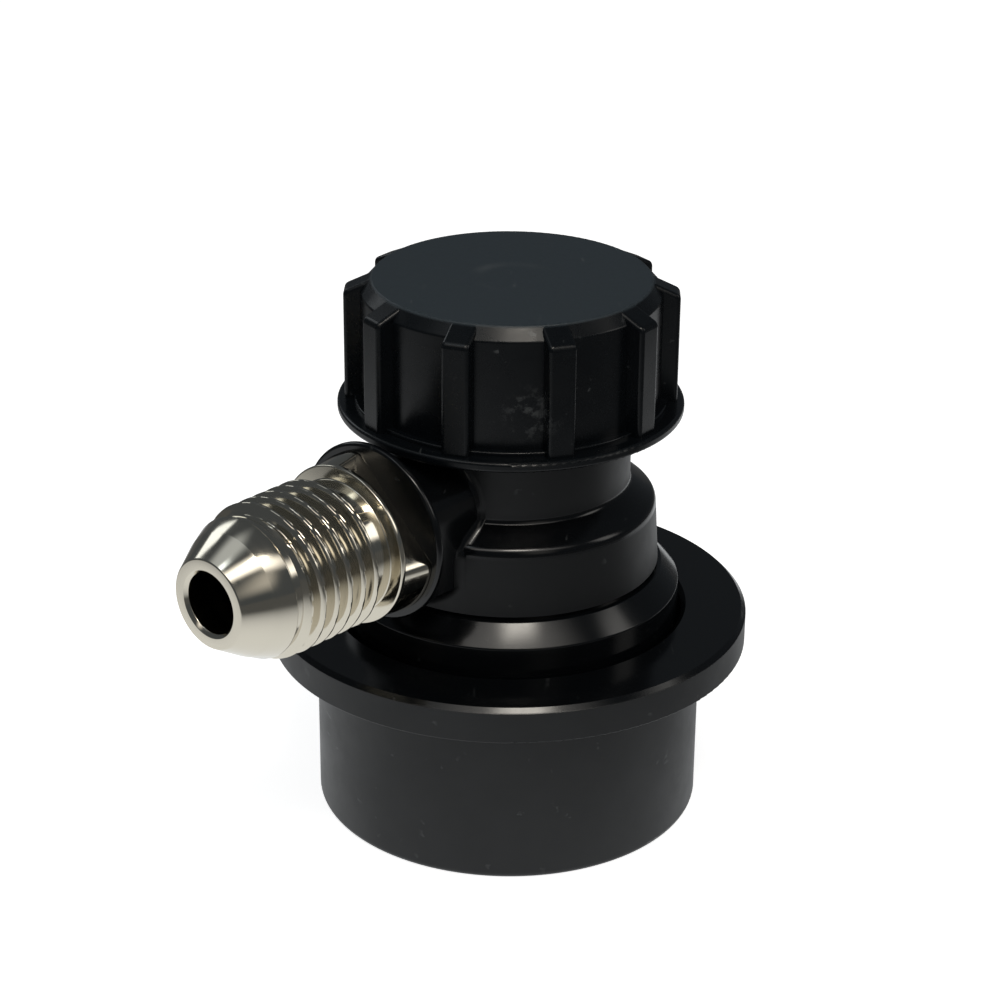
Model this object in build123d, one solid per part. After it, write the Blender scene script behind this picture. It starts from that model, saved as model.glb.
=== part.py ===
from build123d import *
import math
import os

# Ball-lock keg coupler with a stainless male flare outlet.
# Millimetres, +Z up. The origin is the centre of the socket's mouth, on the
# face that the coupler stands on. +X is to the right and -Y to the front.

# --- Clearances -----------------------------------------------------------
slide_gap = 0.30        # plastic over plastic, and everything that slides freely
running_gap = 0.08      # balls in their holes, the pin in its guide
seat_gap = 0.05         # a piece beside the seat that holds it

# --- Shared finish --------------------------------------------------------------
edge_round = 0.25       # rounding left by the mould on outer edges

# --- Post socket and skirt --------------------------------------------------
post_radius = 8.65      # guide and sealing bores that take the keg's post
socket_depth = 13.0
skirt_wall = 2.0
mouth_guide = 3.4       # length of the lower guide bore, mouth to ball relief
mouth_chamfer = 0.4
ball_relief = 0.25      # the bore is this much wider round the balls

# --- Locking balls ----------------------------------------------------------
ball_count = 4
ball_radius = 1.75
ball_height = 5.5       # centre of the balls above the mouth
ball_bite = 0.90        # how far a ball stands into the socket when locked
ball_travel = 0.95      # how far a ball moves out when the collar is lifted
ball_first_angle = 4.0  # degrees from +X

# --- Collar -----------------------------------------------------------------
collar_wall = 1.5       # wall of the sleeve beside the body's ring
collar_lip = 1.4        # wall of the sleeve beside the washer
flange_reach = 3.4      # how far the finger flange stands out from the sleeve
flange_top = 16.0
flange_thickness = 2.7
collar_lift = 3.0
collar_ledge = 8.0      # height of the inner ledge that carries the spring
collar_stop = 2.6       # height of the lower ledge that rests on the washer
collar_round = 0.5      # rounding of the lower rim
rim_bevel = 0.35        # bevel of the flange's outer and inner top edges

# --- Body above the collar ----------------------------------------------------
ring_reach = 2.15       # how far the ring stands out from the skirt
ring_underside = 15.2
ring_top = 18.05
band_foot = 19.8
band_foot_radius = 11.2
band_groove = 0.25
band_top = 24.8
band_top_radius = 10.9
neck_foot = 26.25
neck_radius = 8.95
neck_top = 31.5
spout_radius = 8.6
spout_top = 39.3

# --- Inner passage --------------------------------------------------------------
seat_hole_radius = 3.4
seat_height = 16.6      # where the conical seat starts
chamber_radius = 5.6

# --- Poppet ----------------------------------------------------------------------
poppet_lift = 3.0
pin_radius = 1.5
pin_tip = 9.5
pin_fin = 0.9
pin_fin_foot = 11.6
pin_waist_radius = 2.4
pin_head_radius = 4.7
pin_head_thickness = 1.5
spring_spigot_radius = 2.0
pin_spigot_length = 3.0
seal_wire_radius = 0.8

# --- Springs -----------------------------------------------------------------------
poppet_spring_radius = 2.9
poppet_spring_wire = 0.35
poppet_spring_turns = 11
collar_spring_wire = 0.45
collar_spring_turns = 4

# --- Collar's washer and snap ring ---------------------------------------------------
washer_thickness = 0.6
snap_wire_radius = 0.5
snap_groove = 0.4       # depth of the groove in the skirt
snap_opening = 14.0     # degrees left open between the ring's ends

# --- Cap -------------------------------------------------------------------------------
cap_wall = 2.05         # outside the thread bore
cap_flange_reach = 1.77
cap_flange_thickness = 0.75
cap_step = 0.55         # width of the step where the wall meets the flange
cap_step_height = 0.30
cap_roof = 1.6
cap_bevel_width = 0.85
cap_bevel_height = 0.95
cap_thread_depth = 0.35
gasket_thickness = 0.9
rib_count = 10
rib_width = 2.05
rib_reach = 1.2         # how far the ribs stand out from the wall
rib_bevel_height = 1.0
rib_first_angle = -0.8  # degrees from +X
rib_round = 0.3

# --- Side outlet, along its own axis from the body's centre line -------------------------
outlet_angle = -131.0   # degrees from +X
outlet_height = 26.58
boss_radius = 6.4
boss_front = 15.6
boss_thickness = 1.35
boss_round = 0.3
web_half_width = 4.1
web_top = 31.3
passage_radius = 2.0
insert_bore_radius = 2.4
insert_length = 15.0    # tip beyond the boss's front face
insert_shank_radius = 3.1
insert_shank_length = 5.1
insert_body_radius = 6.45
insert_body_land = 0.3  # cylindrical part beside the boss; the rest is a cone
insert_body_length = 1.9
insert_cone_radius = 5.75
insert_flats = 8.5      # across the two wrench flats
insert_flat_angle = -42.9
insert_disc_radius = 5.85
insert_disc_thickness = 0.45
relief_radius = 4.8
relief_length = 1.35
thread_radius = 5.556   # 7/16-20 UNF, quarter-inch flare
thread_length = 7.2
neck_groove_radius = 4.9
neck_groove_length = 0.6
flare_foot_radius = 5.15
flare_mid_radius = 4.45
flare_mid_back = 2.04   # behind the tip
flare_foot_back = 3.5   # behind the tip
tip_radius = 3.3
tip_chamfer = 0.3
insert_seal_wire = 0.5

# --- Worked out from the sizes above ------------------------------------------------------
skirt_radius = post_radius + skirt_wall
ring_radius = skirt_radius + ring_reach
collar_radius = ring_radius + slide_gap + collar_wall
flange_radius = collar_radius + flange_reach
washer_radius = collar_radius - collar_lip - slide_gap
ball_hole_radius = ball_radius + running_gap
ball_circle = post_radius - ball_bite + ball_radius
cam_slope = ball_travel / collar_lift
cam_angle = math.atan(cam_slope)
relief_top = 2 * ball_height - mouth_guide
flange_underside = flange_top - flange_thickness
chamber_foot = seat_height + chamber_radius - seat_hole_radius
cap_ceiling = spout_top + gasket_thickness
cap_bore = spout_radius + cap_thread_depth
cap_radius = cap_bore + cap_wall
cap_flange_radius = cap_radius + cap_flange_reach
cap_top_radius = cap_radius - cap_bevel_width
rib_radius = cap_radius + rib_reach
cap_foot = neck_top + slide_gap
cap_top = cap_ceiling + cap_roof
cap_shoulder = cap_top - cap_bevel_height
cap_step_top = cap_foot + cap_flange_thickness + cap_step_height
washer_foot = collar_stop - washer_thickness
snap_height = washer_foot - seat_gap - snap_wire_radius
snap_circle = skirt_radius - snap_groove + snap_wire_radius
seal_height = seat_height + math.sqrt(2) * (seal_wire_radius + running_gap)
pin_head_foot = seal_height + seal_wire_radius + seat_gap
pin_head_top = pin_head_foot + pin_head_thickness
pin_spigot_top = pin_head_top + pin_spigot_length
insert_tip = boss_front + insert_length
thread_foot = boss_front + insert_body_length + insert_disc_thickness + relief_length


def section(corners):
    """Flat face in the XZ plane from (x, z) corners; a third value rounds that corner."""
    face = make_face(Polyline(*[(x, 0, z) for x, z, *_ in corners], close=True)).face()
    for x, z, *rounding in corners:
        if rounding:
            corner = face.vertices().sort_by_distance((x, 0, z))[0]
            face = face.fillet_2d(rounding[0], [corner])
    return face


def turned(*corners):
    """Solid turned about the coupler's axis from (radius, height) corners."""
    return revolve(section(corners), Axis.Z)


def turned_on_outlet(*corners):
    """Solid turned about the outlet's axis from (distance, radius) corners."""
    return on_outlet(revolve(section(corners), Axis.X))


def on_outlet(solid):
    """Carry a solid modelled along +X to the outlet's height and direction."""
    return Rot(0, 0, outlet_angle) * Pos(0, 0, outlet_height) * solid


def ring_of_wire(circle_radius, wire_radius, height):
    """Closed ring of round section, lying flat."""
    return Pos(0, 0, height) * Torus(circle_radius, wire_radius)


def coil_spring(mean_radius, wire_radius, foot, top, turns):
    """Open-coiled compression spring that just fills the height it is given."""
    length = top - foot - 2 * wire_radius
    path = Pos(0, 0, foot + wire_radius) * Helix(length / turns, length, mean_radius)
    section = Plane(origin=path @ 0, z_dir=path % 0) * Circle(wire_radius)
    return sweep(section, path=path)


def ball_angles():
    return [ball_first_angle + turn * 360 / ball_count for turn in range(ball_count)]


def ball_hole(angle):
    """Hole that lets a ball move out but not fall into the socket."""
    seat = Sphere(ball_hole_radius)
    way_out = Rot(0, 90, 0) * Cylinder(
        ball_hole_radius, skirt_radius, align=(Align.CENTER, Align.CENTER, Align.MIN)
    )
    return Rot(0, 0, angle) * Pos(ball_circle, 0, ball_height) * (seat + way_out)


def body():
    """Moulding with the skirt, ring, lettering band, neck, spout and outlet boss."""
    shell = turned(
        (0, 0),
        (skirt_radius, 0),
        (skirt_radius, ring_underside),
        (ring_radius, ring_underside),
        (ring_radius, ring_top, edge_round),
        (band_foot_radius + band_groove, band_foot - band_groove, edge_round / 2),
        (band_foot_radius - band_groove, band_foot - band_groove),
        (band_foot_radius - band_groove, band_foot),
        (band_foot_radius, band_foot),
        (band_top_radius, band_top, edge_round),
        (neck_radius, neck_foot, edge_round),
        (neck_radius, neck_top),
        (spout_radius, neck_top),
        (spout_radius, spout_top),
        (0, spout_top),
    )
    boss = Cylinder(boss_radius, boss_thickness, align=(Align.CENTER, Align.CENTER, Align.MAX))
    boss = fillet(boss.edges().filter_by(GeomType.CIRCLE), boss_round)
    web_section = Rectangle(2 * web_half_width, boss_radius, align=(Align.CENTER, Align.MAX))
    web_arch = web_top - outlet_height - web_half_width
    web_section = Pos(0, web_arch) * (Circle(web_half_width) + web_section)
    web = extrude(Plane.YZ * web_section, amount=boss_front - boss_thickness / 2)
    shell += on_outlet(Pos(boss_front, 0, 0) * Rot(0, 90, 0) * boss)
    shell += on_outlet(web)

    shell -= turned(
        (0, 0),
        (post_radius + mouth_chamfer, 0),
        (post_radius, mouth_chamfer),
        (post_radius, mouth_guide),
        (post_radius + ball_relief, mouth_guide + ball_relief),
        (post_radius + ball_relief, relief_top - ball_relief),
        (post_radius, relief_top),
        (post_radius, socket_depth),
        (seat_hole_radius, socket_depth),
        (seat_hole_radius, seat_height),
        (chamber_radius, chamber_foot),
        (chamber_radius, spout_top),
        (0, spout_top),
    )
    shank_end = boss_front - insert_shank_length - seat_gap
    seal_end = boss_front - 2 * insert_seal_wire
    seal_pocket = insert_shank_radius + 2 * insert_seal_wire + seat_gap
    shell -= turned_on_outlet(
        (0, 0),
        (0, passage_radius),
        (shank_end, passage_radius),
        (shank_end, insert_shank_radius + seat_gap),
        (seal_end, insert_shank_radius + seat_gap),
        (seal_end, seal_pocket),
        (boss_front, seal_pocket),
        (boss_front, 0),
    )
    for angle in ball_angles():
        shell -= ball_hole(angle)
    shell -= ring_of_wire(snap_circle, snap_wire_radius + seat_gap, snap_height)
    return shell


def collar():
    """Lifting sleeve with the finger flange, spring ledge and ball cam."""
    outer = turned(
        (0, 0),
        (collar_radius, 0, collar_round),
        (collar_radius, flange_underside, edge_round),
        (flange_radius, flange_underside, edge_round / 2),
        (flange_radius, flange_top - rim_bevel),
        (flange_radius - rim_bevel, flange_top),
        (0, flange_top),
    )
    contact = ball_radius + running_gap
    cam_radius = ball_circle + contact * math.cos(cam_angle)
    cam_height = ball_height + contact * math.sin(cam_angle)
    land_radius = skirt_radius + slide_gap
    land_foot = cam_height + (cam_radius - land_radius) / cam_slope
    cam_foot_radius = cam_radius + (cam_height - collar_stop) * cam_slope
    bore = turned(
        (0, 0),
        (washer_radius + slide_gap, 0),
        (washer_radius + slide_gap, collar_stop),
        (cam_foot_radius, collar_stop),
        (land_radius, land_foot),
        (land_radius, collar_ledge),
        (ring_radius + slide_gap, collar_ledge),
        (ring_radius + slide_gap, flange_top - rim_bevel),
        (ring_radius + slide_gap + rim_bevel, flange_top),
        (0, flange_top),
    )
    return outer - bore


def collar_spring():
    """Spring between the body's ring and the collar's ledge."""
    mean_radius = (skirt_radius + ring_radius + slide_gap) / 2
    return coil_spring(
        mean_radius, collar_spring_wire, collar_ledge, ring_underside, collar_spring_turns
    )


def stop_washer():
    """Flat washer that the collar comes down on."""
    inner_radius = skirt_radius + seat_gap
    return turned(
        (inner_radius, washer_foot),
        (washer_radius, washer_foot),
        (washer_radius, collar_stop),
        (inner_radius, collar_stop),
    )


def snap_ring():
    """Round-wire ring, open at one side, that holds the washer on the skirt."""
    section = Pos(snap_circle, 0, snap_height) * (Plane.XZ * Circle(snap_wire_radius))
    return revolve(section, Axis.Z, revolution_arc=360 - snap_opening)


def locking_ball(angle):
    return Rot(0, 0, angle) * Pos(ball_circle, 0, ball_height) * Sphere(ball_radius)


def cap():
    """Screw cap with a ribbed wall, a thin flange and a spring spigot inside."""
    shell = turned(
        (0, cap_foot),
        (cap_flange_radius, cap_foot, edge_round),
        (cap_flange_radius, cap_foot + cap_flange_thickness, edge_round),
        (cap_radius + cap_step, cap_foot + cap_flange_thickness),
        (cap_radius + cap_step, cap_step_top, edge_round / 2),
        (cap_radius, cap_step_top),
        (cap_radius, cap_shoulder, edge_round),
        (cap_top_radius, cap_top, edge_round / 2),
        (0, cap_top),
    )
    rib_root = cap_bore + (cap_radius - cap_bore) / 2
    rib_outline = section(
        (
            (rib_root, cap_foot + edge_round),
            (rib_radius, cap_foot + edge_round),
            (rib_radius, cap_top - rib_bevel_height, 2 * edge_round),
            (cap_top_radius, cap_top - edge_round / 4),
            (rib_root, cap_top - edge_round / 4),
        )
    )
    rib = extrude(rib_outline, amount=rib_width / 2, both=True)
    outer_face = rib.faces().sort_by(Axis.X)[-1]
    rib = fillet(outer_face.edges().filter_by(Axis.Z), rib_round)
    for turn in range(rib_count):
        shell += Rot(0, 0, rib_first_angle + turn * 360 / rib_count) * rib
    spigot_foot = cap_ceiling - spring_spigot_radius
    return shell - turned(
        (0, cap_foot),
        (cap_bore, cap_foot),
        (cap_bore, cap_ceiling),
        (spring_spigot_radius, cap_ceiling),
        (spring_spigot_radius, spigot_foot),
        (0, spigot_foot),
    )


def cap_gasket():
    """Flat ring squeezed between the cap's ceiling and the spout."""
    return turned(
        (chamber_radius, spout_top),
        (spout_radius, spout_top),
        (spout_radius, cap_ceiling),
        (chamber_radius, cap_ceiling),
    )


def poppet_pin():
    """Valve pin with a four-fin guide, a head over the seat and a spring spigot."""
    pin = turned(
        (0, pin_tip),
        (pin_radius / 2, pin_tip),
        (pin_radius, pin_tip + pin_radius / 2),
        (pin_radius, seat_height),
        (pin_waist_radius, seat_height),
        (pin_waist_radius, pin_head_foot),
        (pin_head_radius, pin_head_foot),
        (pin_head_radius, pin_head_top),
        (spring_spigot_radius, pin_head_top),
        (spring_spigot_radius, pin_spigot_top),
        (0, pin_spigot_top),
    )
    guide_radius = seat_hole_radius - running_gap
    fin_length = seat_height - pin_fin_foot
    fins = Box(2 * guide_radius, pin_fin, fin_length) + Box(pin_fin, 2 * guide_radius, fin_length)
    fins &= Cylinder(guide_radius, fin_length)
    return pin + Pos(0, 0, pin_fin_foot + fin_length / 2) * fins


def poppet_seal():
    """O-ring under the poppet's head."""
    return ring_of_wire(pin_waist_radius + seat_gap + seal_wire_radius, seal_wire_radius, seal_height)


def poppet_spring():
    """Spring between the cap and the poppet's head."""
    return coil_spring(
        poppet_spring_radius, poppet_spring_wire, pin_head_top, cap_ceiling, poppet_spring_turns
    )


def flare_insert():
    """Stainless outlet with a shank, wrench flats, thread cylinder and flare nose."""
    shank_end = boss_front - insert_shank_length
    body_front = boss_front + insert_body_length
    disc_front = body_front + insert_disc_thickness
    thread_tip = thread_foot + thread_length
    flare_foot = insert_tip - flare_foot_back
    blank = turned_on_outlet(
        (shank_end, insert_bore_radius),
        (shank_end, insert_shank_radius),
        (boss_front, insert_shank_radius),
        (boss_front, insert_body_radius),
        (boss_front + insert_body_land, insert_body_radius),
        (body_front, insert_cone_radius),
        (body_front, insert_disc_radius),
        (disc_front, insert_disc_radius),
        (disc_front, relief_radius),
        (thread_foot, relief_radius),
        (thread_foot, thread_radius),
        (thread_tip, thread_radius),
        (thread_tip, neck_groove_radius),
        (thread_tip + neck_groove_length, neck_groove_radius),
        (flare_foot, flare_foot_radius),
        (insert_tip - flare_mid_back, flare_mid_radius),
        (insert_tip, tip_radius),
        (insert_tip, insert_bore_radius + tip_chamfer),
        (insert_tip - tip_chamfer, insert_bore_radius),
    )
    flat_cut = Pos(boss_front + insert_body_length / 2, 0, insert_flats / 2) * Box(
        insert_body_length,
        2 * insert_body_radius,
        insert_body_radius,
        align=(Align.CENTER, Align.CENTER, Align.MIN),
    )
    for side in (0, 180):
        blank -= on_outlet(Rot(insert_flat_angle + side, 0, 0) * flat_cut)
    return blank


def insert_seal():
    """O-ring in the boss's pocket, behind the insert's shoulder."""
    circle = insert_shank_radius + seat_gap / 2 + insert_seal_wire
    ring = Rot(0, 90, 0) * Torus(circle, insert_seal_wire - seat_gap / 2)
    return on_outlet(Pos(boss_front - insert_seal_wire, 0, 0) * ring)


pieces = {
    "body": body(),
    "collar": collar(),
    "collar_spring": collar_spring(),
    "stop_washer": stop_washer(),
    "snap_ring": snap_ring(),
    "cap": cap(),
    "cap_gasket": cap_gasket(),
    "poppet_pin": poppet_pin(),
    "poppet_seal": poppet_seal(),
    "poppet_spring": poppet_spring(),
    "flare_insert": flare_insert(),
    "insert_seal": insert_seal(),
}
for number, angle in enumerate(ball_angles(), start=1):
    pieces[f"ball_{number}"] = locking_ball(angle)

os.makedirs("parts", exist_ok=True)
for node, solid in pieces.items():
    export_step(solid, f"parts/{node}.step")
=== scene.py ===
"""Ball-lock keg coupler with a stainless male flare outlet: its pieces, finishes and stage."""
import math

import bmesh
import bpy
from mathutils import Matrix, Vector


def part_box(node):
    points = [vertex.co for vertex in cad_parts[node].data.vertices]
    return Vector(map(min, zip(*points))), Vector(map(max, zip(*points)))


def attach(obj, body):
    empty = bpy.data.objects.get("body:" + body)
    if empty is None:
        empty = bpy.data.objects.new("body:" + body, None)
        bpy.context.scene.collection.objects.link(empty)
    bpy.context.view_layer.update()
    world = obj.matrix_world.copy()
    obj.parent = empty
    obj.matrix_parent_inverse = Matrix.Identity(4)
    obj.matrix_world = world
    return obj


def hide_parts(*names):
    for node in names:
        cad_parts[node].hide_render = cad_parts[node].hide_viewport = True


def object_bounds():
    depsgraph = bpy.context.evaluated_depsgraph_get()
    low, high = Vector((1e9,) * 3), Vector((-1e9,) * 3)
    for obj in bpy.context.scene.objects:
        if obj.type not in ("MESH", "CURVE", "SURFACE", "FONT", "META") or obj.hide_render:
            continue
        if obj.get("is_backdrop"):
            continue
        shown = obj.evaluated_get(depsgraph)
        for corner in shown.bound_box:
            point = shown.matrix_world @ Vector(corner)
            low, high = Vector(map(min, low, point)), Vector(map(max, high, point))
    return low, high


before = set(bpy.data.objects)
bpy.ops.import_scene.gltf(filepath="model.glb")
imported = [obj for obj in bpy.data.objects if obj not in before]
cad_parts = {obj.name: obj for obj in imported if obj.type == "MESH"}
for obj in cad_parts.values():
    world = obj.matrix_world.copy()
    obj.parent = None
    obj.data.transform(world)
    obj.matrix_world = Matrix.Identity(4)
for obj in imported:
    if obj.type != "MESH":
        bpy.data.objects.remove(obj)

bl_info = {
    "name": "Keg coupler",
    "version": (1, 0, 0),
    "blender": (4, 5, 0),
    "location": "3D View > Sidebar > Coupler",
    "description": "Builds the pieces, finishes and stage of a ball-lock keg coupler",
    "category": "Object",
}

MM = 0.001
WELD = 0.0002 * MM              # points nearer than this are one
TINY = MM / 1e4                 # less than any real length
SHARP_ANGLE = math.radians(40)  # a crease above this is an edge
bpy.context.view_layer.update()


def length(name, description, millimetres):
    """Length property, written here in millimetres and kept in metres."""
    return bpy.props.FloatProperty(
        name=name, description=description, default=millimetres * MM, unit="LENGTH", precision=5
    )


def degrees(name, description, angle):
    """Angle property, written here in degrees and kept in radians."""
    return bpy.props.FloatProperty(
        name=name, description=description, default=math.radians(angle), unit="ROTATION"
    )


def colour(name, description, red, green, blue):
    """Linear colour property."""
    return bpy.props.FloatVectorProperty(
        name=name, description=description, default=(red, green, blue), subtype="COLOR",
        size=3, min=0.0, max=1.0, precision=4,
    )


def share(name, description, default):
    """Property from 0 to 1."""
    return bpy.props.FloatProperty(
        name=name, description=description, default=default, subtype="FACTOR", min=0.0, max=1.0
    )


def power(name, whose, watts):
    """Power property of a lamp."""
    return bpy.props.FloatProperty(
        name=name, description=f"Power of {whose} in watts", default=watts, unit="POWER"
    )


def spot(name, description, x, y, z):
    """Place property, written here in millimetres and kept in metres."""
    return bpy.props.FloatVectorProperty(
        name=name, description=description, default=(x * MM, y * MM, z * MM),
        subtype="TRANSLATION", unit="LENGTH", size=3, precision=4,
    )


# --- Meshes -----------------------------------------------------------------


def rounded(corners, steps=6):
    """Closed outline through corners; a third value in a corner is its rounding radius."""
    outline = []
    for index, corner in enumerate(corners):
        here = Vector(corner[:2])
        if len(corner) < 3:
            outline.append(here)
            continue
        to_last = (Vector(corners[index - 1][:2]) - here).normalized()
        to_next = (Vector(corners[(index + 1) % len(corners)][:2]) - here).normalized()
        half = to_last.angle(to_next) / 2
        centre = here + (to_last + to_next).normalized() * corner[2] / math.sin(half)
        start = here + to_last * corner[2] / math.tan(half) - centre
        end = here + to_next * corner[2] / math.tan(half) - centre
        sweep = math.pi - 2 * half
        for step in range(steps + 1):
            turn = step / steps * sweep
            spoke = (start * math.sin(sweep - turn) + end * math.sin(turn)) / math.sin(sweep)
            outline.append(centre + spoke)
    return outline


def settled(name, shape):
    """Mesh made of a finished bmesh."""
    mesh = bpy.data.meshes.new(name)
    shape.to_mesh(mesh)
    shape.free()
    return mesh


def woven(name, rows):
    """Closed mesh whose rows of points are joined in both directions, welded where they meet."""
    shape = bmesh.new()
    lattice = [[shape.verts.new(point) for point in row] for row in rows]
    for index, row in enumerate(lattice):
        last = lattice[index - 1]
        for place in range(len(row)):
            shape.faces.new((last[place - 1], last[place], row[place], row[place - 1]))
    bmesh.ops.remove_doubles(shape, verts=shape.verts, dist=WELD)
    loose = [line for line in shape.edges if not line.link_faces]
    bmesh.ops.delete(shape, geom=loose, context="EDGES")
    bmesh.ops.recalc_face_normals(shape, faces=shape.faces)
    return settled(name, shape)


def turned(name, outline, carry, columns=216, shape=None):
    """Mesh turned about the carried X axis; shape may change a radius by its place and angle."""
    rows = []
    for column in range(columns):
        angle = column / columns * 2 * math.pi
        row = []
        for index, (along, radius) in enumerate(outline):
            if shape:
                radius = shape(index, along, radius, angle)
            sideways, lift = -radius * math.sin(angle), radius * math.cos(angle)
            row.append(carry @ Vector((along, sideways, lift)))
        rows.append(row)
    return woven(name, rows)


def ended(name, rows):
    """Closed mesh through rows of points, each a closed outline, with a face at each end."""
    shape = bmesh.new()
    lattice = [[shape.verts.new(point) for point in row] for row in rows]
    for last, row in zip(lattice, lattice[1:]):
        for place in range(len(row)):
            shape.faces.new((last[place - 1], last[place], row[place], row[place - 1]))
    shape.faces.new(lattice[0])
    shape.faces.new(lattice[-1])
    bmesh.ops.recalc_face_normals(shape, faces=shape.faces)
    return settled(name, shape)


def merged(name, *parts):
    """One mesh that holds several closed ones."""
    shape = bmesh.new()
    for part in parts:
        shape.from_mesh(part)
    return settled(name, shape)


def linked(name, data):
    """Object in the scene that holds a mesh, a lamp or a camera."""
    piece = bpy.data.objects.new(name, data)
    bpy.context.scene.collection.objects.link(piece)
    return piece


def carved(mesh, joined, cut):
    """Mesh with other closed meshes joined to it, and then others cut out of it."""
    piece = linked(mesh.name, mesh)
    tools = []
    for operation, others in (("UNION", joined), ("DIFFERENCE", cut)):
        for other in others:
            tools.append(linked(other.name, other))
            step = piece.modifiers.new(other.name, "BOOLEAN")
            step.operation, step.solver, step.object = operation, "EXACT", tools[-1]
    seen = piece.evaluated_get(bpy.context.evaluated_depsgraph_get())
    result = bpy.data.meshes.new_from_object(seen)
    for spare in (piece, *tools):
        bpy.data.objects.remove(spare)
    return result


def shown(name, mesh, material, slot, body, *nodes):
    """Piece with even shading that stands for CAD nodes and rides on a body."""
    for face in mesh.polygons:
        face.use_smooth = True
    mesh.set_sharp_from_angle(angle=SHARP_ANGLE)
    piece = linked(name, mesh)
    weighted = piece.modifiers.new("Even shading", "WEIGHTED_NORMAL")
    weighted.keep_sharp = True
    mesh.materials.clear()
    mesh.materials.append(material)
    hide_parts(*nodes)
    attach(piece, body)
    return piece


def outlet_height():
    """Height of the outlet's axis."""
    low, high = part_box("insert_seal")
    return (low.z + high.z) / 2


def outlet_frame(sizes):
    """Matrix that carries a shape made along +X onto the outlet's axis."""
    turn = Matrix.Rotation(sizes.outlet_angle, 4, "Z")
    return Matrix.Translation((0, 0, outlet_height())) @ turn


# --- Shader parts that more than one finish uses ----------------------------


def wire(tree, made, **values):
    """Sets sockets by name: a socket joins, anything else is a plain value."""
    for name, value in values.items():
        socket = made.inputs[name.replace("_", " ")]
        if isinstance(value, bpy.types.NodeSocket):
            tree.links.new(value, socket)
        else:
            socket.default_value = value
    return made


def new_group(name, inputs, outputs):
    """Empty shader group with float inputs and outputs."""
    tree = bpy.data.node_groups.new(name, "ShaderNodeTree")
    for title, default in inputs:
        kind = "NodeSocketVector" if title == "Place" else "NodeSocketFloat"
        socket = tree.interface.new_socket(title, in_out="INPUT", socket_type=kind)
        if kind == "NodeSocketFloat":
            socket.default_value = default
    for title in outputs:
        tree.interface.new_socket(title, in_out="OUTPUT", socket_type="NodeSocketFloat")
    return tree, tree.nodes.new("NodeGroupInput"), tree.nodes.new("NodeGroupOutput")


def calc(tree, operation, *values):
    """Math node on sockets or plain numbers; gives its output."""
    made = tree.nodes.new("ShaderNodeMath")
    made.operation = operation
    for socket, value in zip(made.inputs, values):
        if isinstance(value, bpy.types.NodeSocket):
            tree.links.new(value, socket)
        else:
            socket.default_value = value
    return made.outputs[0]


def product(tree, first, *others):
    """Several values multiplied."""
    for other in others:
        first = calc(tree, "MULTIPLY", first, other)
    return first


def raised(tree, value, mask, amount):
    """Value to which a mask adds an amount."""
    return calc(tree, "ADD", value, calc(tree, "MULTIPLY", mask, amount))


def eased(tree, value, low, high, out_low=0.0, out_high=1.0):
    """Smooth step of a value between two limits."""
    made = tree.nodes.new("ShaderNodeMapRange")
    made.interpolation_type = "SMOOTHSTEP"
    wire(tree, made, Value=value, From_Min=low, From_Max=high, To_Min=out_low, To_Max=out_high)
    return made.outputs["Result"]


def cloud(tree, place, scale, detail=3.0, roughness=0.55):
    """Noise value at a place."""
    made = tree.nodes.new("ShaderNodeTexNoise")
    wire(tree, made, Vector=place, Scale=scale, Detail=detail, Roughness=roughness)
    return made.outputs["Fac"]


def moulding_grain():
    """Fine grain of moulded plastic: a height, and a cloudy change in gloss."""
    if "Moulding grain" in bpy.data.node_groups:
        return bpy.data.node_groups["Moulding grain"]
    tree, given, out = new_group(
        "Moulding grain", [("Place", None), ("Grain scale", 9000.0), ("Cloud scale", 260.0)],
        ["Height", "Cloud"],
    )
    grain = cloud(tree, given.outputs["Place"], given.outputs["Grain scale"], 2.0)
    haze = cloud(tree, given.outputs["Place"], given.outputs["Cloud scale"], 5.0, 0.65)
    wire(tree, out, Height=grain, Cloud=eased(tree, haze, 0.3, 0.7))
    return tree


def handling_scuffs():
    """Short light scratches and dust, as a mask from 0 to 1."""
    if "Handling scuffs" in bpy.data.node_groups:
        return bpy.data.node_groups["Handling scuffs"]
    tree, given, out = new_group(
        "Handling scuffs", [("Place", None), ("Scale", 900.0), ("Amount", 0.5)], ["Mask"]
    )
    stretched = tree.nodes.new("ShaderNodeMapping")
    wire(
        tree, stretched, Vector=given.outputs["Place"],
        Rotation=(0.5, 0.3, 0.9), Scale=(1, 0.16, 1),
    )
    streaks = cloud(tree, stretched.outputs["Vector"], given.outputs["Scale"], 2.0, 0.5)
    patches = cloud(tree, given.outputs["Place"], 330.0, 2.0)
    rare = eased(tree, streaks, 0.66, 0.74)
    here = eased(tree, patches, 0.5, 0.62)
    wire(tree, out, Mask=product(tree, rare, here, given.outputs["Amount"]))
    return tree


def turning_marks():
    """Fine lathe marks across an axis: a height and a change in gloss."""
    if "Turning marks" in bpy.data.node_groups:
        return bpy.data.node_groups["Turning marks"]
    tree, given, out = new_group(
        "Turning marks", [("Place", None), ("Scale", 9000.0)], ["Height", "Gloss"]
    )
    squeezed = tree.nodes.new("ShaderNodeMapping")
    wire(tree, squeezed, Vector=given.outputs["Place"], Scale=(1, 0.02, 0.02))
    lines = cloud(tree, squeezed.outputs["Vector"], given.outputs["Scale"], 3.0, 0.7)
    broad = cloud(tree, squeezed.outputs["Vector"], 1400.0, 2.0, 0.5)
    wire(tree, out, Height=lines, Gloss=eased(tree, broad, 0.35, 0.65))
    return tree


def separated(tree, place):
    """Separate outputs X, Y and Z of a place."""
    made = tree.nodes.new("ShaderNodeSeparateXYZ")
    tree.links.new(place, made.inputs[0])
    return made.outputs


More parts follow.
